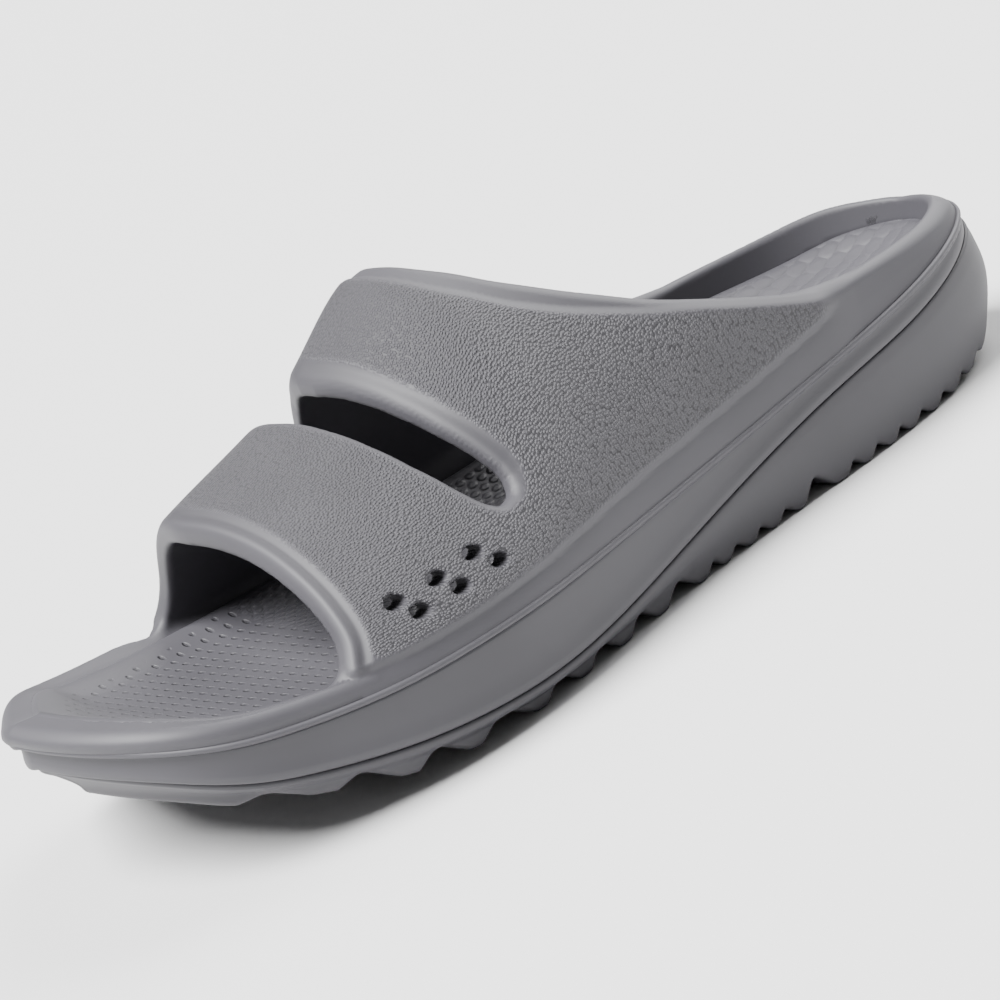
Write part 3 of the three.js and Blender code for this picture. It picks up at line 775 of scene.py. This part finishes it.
def make_upper():
    verts, quads = extract(upper_field, (-2.0, -56.0, 11.0), (LENGTH + 3, 58.0, 90.0), VOXEL)
    verts = pull(upper_field, verts, 5, 0.8 * VOXEL)
    normals = gradient(upper_field, verts)
    normals /= np.maximum(np.linalg.norm(normals, axis=1), 1e-6)[:, None]
    _, panel, valley, above, length = upper_parts(*verts.T)
    bead_verts, bead_quads = tube_round(
        lambda s: 0.1 + 1.33 * heel_lean(s) + 0.15 * toe_tuck(s),
        lambda s: parting(s) + BEAD * 0.9,
        lambda s: BEAD * (1 - 0.4 * heel_lean(s) / HEEL_LEAN),
        BEAD_SIDES,
    )
    faces = np.concatenate([quads, bead_quads + len(verts)])
    zeros = np.zeros(len(bead_verts))
    grain = np.stack([verts[:, 0], length, np.zeros(len(verts))], -1)
    facing = smooth(0.0, 0.35, facing_out(verts, normals))
    bead_middles = bead_verts.reshape(-1, BEAD_SIDES, 3).mean(1)
    bead_normals = bead_verts - np.repeat(bead_middles, BEAD_SIDES, 0)
    bead_normals /= np.maximum(np.linalg.norm(bead_normals, axis=1), 1e-9)[:, None]
    return make_object(
        "upper_foam",
        np.concatenate([verts, bead_verts]),
        faces,
        np.concatenate([normals, bead_normals]),
        panel=np.concatenate([panel, zeros - 20]),
        valley=np.concatenate([valley, zeros - 20]),
        above=np.concatenate([above * facing, zeros]),
        facing=np.concatenate([facing, zeros]),
        grain=np.concatenate([grain, np.zeros((len(bead_verts), 3))]),
    )


def facing_out(verts, normals):
    """How far a point's normal points away from the inside of the shoe."""
    away = np.stack([np.zeros(len(verts)), verts[:, 1] - CREST_Y, verts[:, 2] - 20], -1)
    away /= np.maximum(np.linalg.norm(away, axis=1), 1e-6)[:, None]
    return (away * normals).sum(1)


def tube_round(inset, height, radius, sides):
    """A round bead all the way round the outline, its inset, height and radius given along it."""
    p, n, s = ring_points(STATIONS)
    centre = p - n * np.broadcast_to(inset(s), s.shape)[:, None]
    z = height(s)
    turn = np.arange(sides) * 2 * math.pi / sides
    out = np.cos(turn)[None] * radius(s)[:, None]
    up = np.sin(turn)[None] * radius(s)[:, None]
    verts = np.stack([
        centre[:, 0:1] + n[:, 0:1] * out,
        centre[:, 1:2] + n[:, 1:2] * out,
        z[:, None] + up + 0 * out,
    ], -1).reshape(-1, 3)
    count = len(p)
    i = np.arange(count)[:, None]
    k = np.arange(sides)[None]
    a, b = i * sides + k, ((i + 1) % count) * sides + k
    c, d = ((i + 1) % count) * sides + (k + 1) % sides, i * sides + (k + 1) % sides
    return verts, np.stack([a, d, c, b], -1).reshape(-1, 4)


def loft(rings, columns=1, cap_top=None, cap_bottom=None):
    """Quads round stacked rings, with rows across to close both ends; caps give z from the place across."""
    count = len(rings[0])
    half = count // 2
    verts = [np.concatenate(rings)]
    total = len(verts[0])
    quads = []
    i = np.arange(count)
    j = (i + 1) % count
    for level in range(len(rings) - 1):
        a, b = level * count, (level + 1) * count
        quads.append(np.stack([a + i, b + i, b + j, a + j], -1))
    for start, cap, up in ((0, cap_bottom, False), ((len(rings) - 1) * count, cap_top, True)):
        ring = verts[0][start:start + count]
        rows = np.zeros((half + 1, columns + 1), int)
        rows[:, 0] = start + np.arange(half + 1)
        rows[:, columns] = start + (count - np.arange(half + 1)) % count
        rows[0, :] = start
        rows[half, :] = start + half
        if columns > 1:
            outer = ring[1:half]
            inner = ring[(count - np.arange(1, half)) % count]
            across = np.arange(1, columns) / columns
            pts = outer[:, None] + (inner - outer)[:, None] * across[None, :, None]
            if cap is not None:
                v = np.broadcast_to(across[None], pts.shape[:2])
                st = np.broadcast_to((np.arange(1, half) / half)[:, None], pts.shape[:2])
                pts = pts.copy()
                pts[..., 2] = cap(pts[..., 0], pts[..., 1], pts[..., 2], v, st)
            added = np.arange((half - 1) * (columns - 1)).reshape(half - 1, columns - 1)
            rows[1:half, 1:columns] = total + added
            verts.append(pts.reshape(-1, 3))
            total += pts.shape[0] * pts.shape[1]
        a, b, c, d = rows[:-1, :-1], rows[:-1, 1:], rows[1:, 1:], rows[1:, :-1]
        q = np.stack([a, b, c, d] if up else [a, d, c, b], -1).reshape(-1, 4)
        quads.append(q)
    return np.concatenate(verts), np.concatenate(quads)


def split_quads(quads):
    """Triangles from quads, leaving out those that fold to nothing at the tips."""
    tris = np.concatenate([quads[:, [0, 1, 2]], quads[:, [0, 2, 3]]])
    good = (tris[:, 0] != tris[:, 1]) & (tris[:, 1] != tris[:, 2]) & (tris[:, 0] != tris[:, 2])
    return tris[good]


def groove_height(x):
    """Height of the tread's cut above the lug tips, along the shoe."""
    z = np.zeros_like(x)
    for (at0, t0, depth), (at1, t1, _) in zip(LUGS[:-1], LUGS[1:]):
        a, b = LENGTH * at0 + t0 / 2, LENGTH * at1 - t1 / 2
        r0, r1 = a + ROOT_REAR * (b - a), a + ROOT_FRONT * (b - a)
        z = np.maximum(z, np.interp(x, [a, r0, r1, b], [0, depth, depth, 0]))
    return z


def softened_grooves():
    """The tread's cut along the shoe, with its corners rounded over a millimetre."""
    x = np.arange(-5, 300, 0.1)
    kernel = np.exp(-(np.arange(-8, 9) / 5.0) ** 2)
    return x, np.convolve(groove_height(x), kernel / kernel.sum(), mode="same")


GROOVE_X, GROOVE_Z = softened_grooves()
TOE_CURVE = 0.013  # how fast the tread curves up under the toe tip
TOE_CURVE_FROM = 260.0


def tread_height(x, s):
    """Height of the tread: the lift at its own station, or the bottom of a groove where that is higher."""
    toe = TOE_CURVE * np.maximum(x - TOE_CURVE_FROM, 0) ** 2
    groove = tread(station(x / LENGTH)) + np.interp(x, GROOVE_X, GROOVE_Z)
    return np.maximum(tread(s), groove) + toe


def side_curve(z, heights, insets):
    """Smooth curve through a few (height, inset) rows for each station, read at z."""
    out = np.zeros_like(z)
    slopes = []
    for k in range(len(heights) - 1):
        slopes.append((insets[k + 1] - insets[k]) / (heights[k + 1] - heights[k]))
    knots = [slopes[0]]
    for a, b in zip(slopes[:-1], slopes[1:]):
        knots.append(np.where(a * b > 0, 2 * a * b / np.where(a + b == 0, 1, a + b), 0))
    knots.append(slopes[-1])
    z = np.clip(z, heights[0], heights[-1])
    for k in range(len(heights) - 1):
        h = heights[k + 1] - heights[k]
        t = np.clip((z - heights[k]) / h, 0, 1)
        value = (
            insets[k] * (1 + 2 * t) * (1 - t) ** 2 + insets[k + 1] * t * t * (3 - 2 * t)
            + h * (knots[k] * t * (1 - t) ** 2 - knots[k + 1] * t * t * (1 - t))
        )
        out = np.where((z >= heights[k]) & (z <= heights[k + 1]), value, out)
    return out


def inset_ring(p, n, inset, z):
    """The outline moved inwards, at a height."""
    return np.column_stack([p - n * inset[:, None], z])


def make_outsole():
    p, n, s = ring_points(STATIONS)
    lean, toe_in, tuck = heel_lean(s), toe_tuck(s), tip_tuck(s)
    foot, top = tread(s), crease(s) - GAP
    rise = crease(s) - foot

    # Side wall: heights and insets from the lug tips up to the crease
    heights = [foot, np.minimum(foot + 0.42 * rise, foot + 3), foot + 0.68 * rise - lean]
    heights += [foot + 0.86 * rise, top]
    insets = [
        tuck + 0.2, tuck - 0.1 - 0.7 * lean, 0.5 + 0.2 * tuck - 0.5 * lean + 0.6 * toe_in,
        0.8 + 0.2 * lean + 0.5 * toe_in, 1.2 + 0.4 * lean + 0.35 * toe_in,
    ]
    rings = []
    for lift, extra in ((0.0, 2.0), (0.0, 1.2), (0.14, 0.55), (0.45, 0.16), (0.95, 0.0)):
        inset = tuck
        for _ in range(3):
            x = (p - n * inset[:, None])[:, 0]
            z = np.minimum(tread_height(x, s) + lift, top - 1.9)
            inset = side_curve(z, heights, insets) + extra
        x = (p - n * inset[:, None])[:, 0]
        rings.append(inset_ring(p, n, inset, np.minimum(tread_height(x, s) + lift, top - 1.9)))
    start = rings[-1][:, 2]
    for k in np.linspace(0, 1, 14)[1:]:
        z = start + (top - 1.3 - start) * k
        rings.append(inset_ring(p, n, side_curve(z, heights, insets), z))

    # Round top edge, then in under the midsole
    edge = side_curve(top - 1.3, heights, insets)
    for down, extra in ((0.7, 0.04), (0.3, 0.16), (0.08, 0.4), (0.0, 0.9)):
        rings.append(inset_ring(p, n, edge + extra, top - down))
    rings.append(inset_ring(p, n, np.full(len(s), RIM_WIDTH + LIP - GAP), sole_top(s) - GAP))

    def floor(x, y, z, v, st):
        return tread_height(x, st)

    verts, quads = loft(rings, 24, None, floor)
    return make_object("outsole_foam", verts, split_quads(quads))


def make_midsole():
    p, n, s = ring_points(STATIONS)
    lean, tuck = heel_lean(s), toe_tuck(s)
    low, high = crease(s) - 0.2, parting(s) - 0.1
    rings = [
        inset_ring(p, n, np.full(len(s), RIM_WIDTH + LIP), sole_top(s)),
        inset_ring(p, n, CREASE_INSET + 1.3 + 0.8 * lean + 0.25 * tuck, low),
    ]
    face = 0.5 + lean + 0.2 * tuck
    lower_edge = ((0.0, 0.75), (0.2, 0.4), (0.5, 0.16), (0.9, 0.05), (1.4, 0.0), (2.1, 0.04), (3.0, 0.22))
    sharp = 1 - 0.75 * lean / HEEL_LEAN
    for up, extra in lower_edge:
        rings.append(inset_ring(p, n, face + extra * sharp, np.minimum(low + up, high - 1.2)))
    start = rings[-1][:, 2]
    upper_edge = ((0.25, 0.32), (0.5, 0.38), (0.75, 0.38), (0.9, 0.32), (0.97, 0.4), (1.0, 0.8))
    for t, extra in upper_edge:
        rings.append(inset_ring(p, n, face + extra, start + (high - start) * t))
    rings.append(inset_ring(p, n, rim_inside(s) - 2 * GAP, footbed_bottom(s) - GAP))
    verts, quads = loft(rings)
    return make_object("midsole_foam", verts, split_quads(quads))


def make_footbed():
    p, n, s = ring_points(STATIONS)
    inner = np.arange(len(s)) > STATIONS
    edge = footbed_top(s) + np.where(inner, arch_rise(s), 0)

    def ring_at(extra, z):
        return inset_ring(p, n, rim_inside(s) + GAP + extra, z)

    rings = [ring_at(0.4, footbed_bottom(s)), ring_at(-0.6, edge - 1.0), ring_at(-0.9, edge - 0.3)]
    rings += [ring_at(-0.6, edge - 0.1), ring_at(0.5, edge)]

    def hollow(x, y, z, v, st):
        inside, near = plan(x, y)
        cup = FOOTBED_CUP * smooth(-1.0, 11.0, inside - rim_inside(near) - GAP - 0.8)
        return z - cup - arch_rise(st) * (v - v**4)

    verts, quads = loft(rings, 64, hollow, None)
    distance, _ = plan(verts[:, 0], verts[:, 1])
    return make_object("footbed_foam", verts, split_quads(quads), inset=distance, place=verts)


def new_material(name, colour, roughness):
    material = bpy.data.materials.new(name)
    material.use_nodes = True
    tree = material.node_tree
    shader = tree.nodes["Principled BSDF"]
    shader.inputs["Base Color"].default_value = (*colour, 1)
    shader.inputs["Roughness"].default_value = roughness
    shader.inputs["Metallic"].default_value = 0.0
    return material, tree, shader


def add(tree, kind, inputs=(), **settings):
    node = tree.nodes.new(kind)
    for key, value in settings.items():
        setattr(node, key, value)
    for key, value in inputs:
        if hasattr(value, "is_output"):
            tree.links.new(value, node.inputs[key])
        else:
            node.inputs[key].default_value = value
    return node


def maths(tree, operation, a, b=0.0, clamp=False):
    node = add(tree, "ShaderNodeMath", [(0, a), (1, b)], operation=operation, use_clamp=clamp)
    return node.outputs[0]


def ramp(tree, value, low, high, to_low=0.0, to_high=1.0):
    node = add(
        tree, "ShaderNodeMapRange",
        [("Value", value), ("From Min", low), ("From Max", high), ("To Min", to_low), ("To Max", to_high)],
        interpolation_type="SMOOTHSTEP",
    )
    return node.outputs["Result"]


def bump(tree, height, distance, normal=None, strength=1.0):
    """A normal raised by a height of so many millimetres, on top of another normal."""
    inputs = [("Height", height), ("Distance", distance * MM), ("Strength", strength)]
    if normal is not None:
        inputs.append(("Normal", normal))
    return add(tree, "ShaderNodeBump", inputs).outputs["Normal"]


def noise(tree, coords, scale, detail, roughness=0.5, **settings):
    inputs = [("Vector", coords), ("Scale", scale), ("Detail", detail), ("Roughness", roughness)]
    return add(tree, "ShaderNodeTexNoise", inputs, **settings)


def vectors(tree, operation, a, b):
    """A sum or product of vectors; SCALE takes a number for b."""
    key = "Scale" if operation == "SCALE" else 1
    return add(tree, "ShaderNodeVectorMath", [(0, a), (key, b)], operation=operation).outputs["Vector"]


def attribute(tree, name, output="Fac"):
    """A value stored at the mesh's points."""
    return add(tree, "ShaderNodeAttribute", attribute_name=name).outputs[output]


def skin(tree):
    """The object's coordinates, and the normal of the fine moulded skin of foam."""
    coords = add(tree, "ShaderNodeTexCoord").outputs["Object"]
    small = noise(tree, coords, 900.0, 4.0, 0.6)
    return coords, bump(tree, small.outputs["Fac"], SKIN, strength=0.5)


def tint(tree, coords, colour, spread=0.06):
    """The dyed foam's colour, slightly cloudy."""
    cloud = noise(tree, coords, 22.0, 3.0, 0.55)
    level = ramp(tree, cloud.outputs["Fac"], 0.3, 0.7, 1 - spread, 1 + spread)
    return vectors(tree, "SCALE", colour, level)


def shaded(share):
    """The foam's colour, darkened to a share."""
    return tuple(c * share for c in FOAM)


def paint_shade(tree, shader, base, amount, share):
    """Colours the shader with the base, mixed by an amount with foam darkened to a share: painted shade."""
    mixed = add(tree, "ShaderNodeMix", [], data_type="RGBA")
    tree.links.new(amount, mixed.inputs[0])
    tree.links.new(base, mixed.inputs[6])
    mixed.inputs[7].default_value = (*shaded(share), 1)
    tree.links.new(mixed.outputs[2], shader.inputs["Base Color"])


def upper_material():
    """Smooth foam with the pebbled panel and the valley beside the beads, with painted shade in the pebbles'
    gaps and the valley.
    """
    material, tree, shader = new_material("upper foam", FOAM, 0.57)
    coords, fine_skin = skin(tree)

    # Pebbles, in places slightly bent along the strap
    grain = attribute(tree, "grain", "Vector")
    mask = maths(tree, "MULTIPLY", ramp(tree, attribute(tree, "panel"), 0.2, 2.2), attribute(tree, "facing"))
    warp = noise(tree, grain, 0.07, 0.0, noise_dimensions="2D")
    bent = vectors(tree, "SCALE", warp.outputs["Color"], 1.5)
    placed = vectors(tree, "MULTIPLY", vectors(tree, "ADD", grain, bent), PEBBLES)
    cells = add(
        tree, "ShaderNodeTexVoronoi", [("Vector", placed), ("Scale", 1.0), ("Randomness", 0.7)],
        voronoi_dimensions="2D", feature="F1",
    )
    distance = cells.outputs["Distance"]
    pebble = maths(tree, "MULTIPLY", ramp(tree, distance, 0.62, 0.1), mask)
    hollow = maths(tree, "MULTIPLY", ramp(tree, distance, 0.42, 0.68), mask)

    # Valley
    valley = attribute(tree, "valley")
    dip = maths(tree, "MULTIPLY", ramp(tree, valley, -2.9, -0.8), ramp(tree, valley, 1.5, -0.8))
    dip = maths(tree, "MULTIPLY", dip, attribute(tree, "above"))

    dipped = bump(tree, maths(tree, "SUBTRACT", 1.0, dip), VALLEY, fine_skin)
    tree.links.new(bump(tree, pebble, PEBBLE_HEIGHT, dipped), shader.inputs["Normal"])
    # Painted shade: the gaps between the pebbles and the valley beside the beads are coloured darker,
    # standing in for shade in these hollows
    shade = maths(
        tree, "ADD", maths(tree, "MULTIPLY", hollow, 0.9), maths(tree, "MULTIPLY", dip, 0.35), clamp=True
    )
    paint_shade(tree, shader, tint(tree, coords, FOAM), shade, 0.4)
    return material


def plain_material(name, colour, roughness):
    material, tree, shader = new_material(name, colour, roughness)
    coords, fine_skin = skin(tree)
    tree.links.new(fine_skin, shader.inputs["Normal"])
    tree.links.new(tint(tree, coords, colour), shader.inputs["Base Color"])
    return material


def split(tree, vector):
    node = add(tree, "ShaderNodeSeparateXYZ", [("Vector", vector)])
    return node.outputs["X"], node.outputs["Y"]


def staggered(tree, x, y, pitch_x, pitch_y):
    """Offsets from the middle of each cell of a staggered pattern, as shares of its pitch."""
    v = maths(tree, "DIVIDE", y, pitch_y)
    shift = maths(tree, "MULTIPLY", maths(tree, "FLOOR", v), 0.5)
    u = maths(tree, "ADD", maths(tree, "DIVIDE", x, pitch_x), shift)
    return [maths(tree, "SUBTRACT", maths(tree, "FRACT", q), 0.5) for q in (u, v)]


def oval(tree, u, v, half_u, half_v):
    """One inside a small oval of a cell, falling to nought outside."""
    a = maths(tree, "POWER", maths(tree, "DIVIDE", u, half_u), 2.0)
    b = maths(tree, "POWER", maths(tree, "DIVIDE", v, half_v), 2.0)
    return ramp(tree, maths(tree, "ADD", a, b), 1.7, 0.2)


def footbed_material():
    """Smooth foam with three textures inside a margin: dashes at the toe, bumps, flat lumps at the heel."""
    material, tree, shader = new_material("footbed foam", shaded(FOOTBED_SHADE), 0.55)
    coords, fine_skin = skin(tree)
    x, y = split(tree, attribute(tree, "place", "Vector"))

    # The patterned field ends at a margin that is wider at the toe
    inset = maths(tree, "SUBTRACT", attribute(tree, "inset"), ramp(tree, x, 205.0, 235.0, 0.0, 4.0))
    inside = ramp(tree, inset, FIELD_EDGE, FIELD_EDGE + 1.4)

    # Toe: rows of small dashes pressed in
    u, v = staggered(tree, y, x, 4.6, 3.4)
    dashes = maths(tree, "MULTIPLY", oval(tree, u, v, 0.24, 0.15), ramp(tree, x, 204.0, 210.0))
    # Middle: small raised bumps
    u, v = staggered(tree, x, y, 3.2, 2.0)
    middle = maths(tree, "MULTIPLY", ramp(tree, x, 118.0, 126.0), ramp(tree, x, 210.0, 204.0))
    bumps = maths(tree, "MULTIPLY", oval(tree, u, v, 0.36, 0.36), middle)
    # Heel: larger flat lumps
    u, v = staggered(tree, x, y, 5.6, 4.2)
    scales = maths(tree, "MULTIPLY", oval(tree, u, v, 0.48, 0.48), ramp(tree, x, 124.0, 116.0, 0.0, 0.7))

    height = maths(tree, "SUBTRACT", maths(tree, "ADD", bumps, scales), dashes)
    pattern = maths(tree, "MULTIPLY", height, inside)
    tree.links.new(bump(tree, pattern, TEXTURE_DEPTH, fine_skin), shader.inputs["Normal"])
    # Painted shade: the pressed-in dashes are coloured darker, standing in for the shade inside them
    shade = maths(tree, "MULTIPLY", maths(tree, "MULTIPLY", dashes, inside), 0.3)
    paint_shade(tree, shader, tint(tree, coords, shaded(FOOTBED_SHADE)), shade, 0.35)
    return material


def make_stage():
    """A plain pale floor and a faint white world."""
    bpy.ops.mesh.primitive_plane_add(size=8.0, location=(0, 0, 0))
    floor = bpy.context.object
    floor.name = "floor"
    material, _, _ = new_material("floor", (0.7, 0.7, 0.7), 0.8)
    floor.data.materials.append(material)
    world = bpy.data.worlds.new("studio")
    world.use_nodes = True
    world.node_tree.nodes["Background"].inputs["Color"].default_value = (1, 1, 1, 1)
    world.node_tree.nodes["Background"].inputs["Strength"].default_value = 0.22
    bpy.context.scene.world = world


def soft_sun(name, towards, strength, angle):
    """A sun seen in a direction from the shoe, as wide as an angle in radians."""
    data = bpy.data.lights.new(name, "SUN")
    data.energy = strength
    data.angle = angle
    lamp = bpy.data.objects.new(name, data)
    lamp.rotation_euler = Vector(towards).to_track_quat("Z", "Y").to_euler()
    bpy.context.scene.collection.objects.link(lamp)


# The photograph's camera, in the part's millimetres: turned from the outer side to the toe, raised, rolled
CAMERA_TURN = math.radians(34.7587)
CAMERA_RISE = math.radians(16.0439)
CAMERA_ROLL = math.radians(21.2374)
CAMERA_PLACE = np.array([524.908, 531.749, 212.663])
CAMERA_LENS = 109.126


def make_camera():
    a, e, r = CAMERA_TURN, CAMERA_RISE, CAMERA_ROLL
    back = Vector((math.sin(a) * math.cos(e), math.cos(a) * math.cos(e), math.sin(e)))
    right = Vector((-math.cos(a), math.sin(a), 0))
    up = back.cross(right)
    x_axis = right * math.cos(r) - up * math.sin(r)
    y_axis = right * math.sin(r) + up * math.cos(r)
    data = bpy.data.cameras.new("camera")
    data.sensor_width = 36
    data.lens = CAMERA_LENS
    data.clip_start, data.clip_end = 0.02, 50
    camera = bpy.data.objects.new("camera", data)
    place = Vector((CAMERA_PLACE - ORIGIN) / 1000)
    turn = Matrix((x_axis, y_axis, back)).transposed().to_4x4()
    camera.matrix_world = Matrix.Translation(place) @ turn
    bpy.context.scene.collection.objects.link(camera)
    bpy.context.scene.camera = camera


def dress(piece, node, material):
    """Puts a piece over its node of the frame."""
    piece.data.materials.append(material)
    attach(piece, "root")
    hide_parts(node)


dress(make_upper(), "upper", upper_material())
dress(make_footbed(), "footbed", footbed_material())
# The midsole and outsole are the same foam as the upper, coloured darker as painted shade on sides that face
# away from the light
dress(make_midsole(), "midsole", plain_material("midsole foam", shaded(MIDSOLE_PAINTED_SHADE), 0.55))
dress(make_outsole(), "outsole", plain_material("outsole foam", shaded(OUTSOLE_PAINTED_SHADE), 0.58))
make_stage()
soft_sun("key", (0.5, -0.1, 0.86), 12.9, 0.7)
soft_sun("back", (-0.75, -0.15, 0.6), 4.0, 0.9)
make_camera()
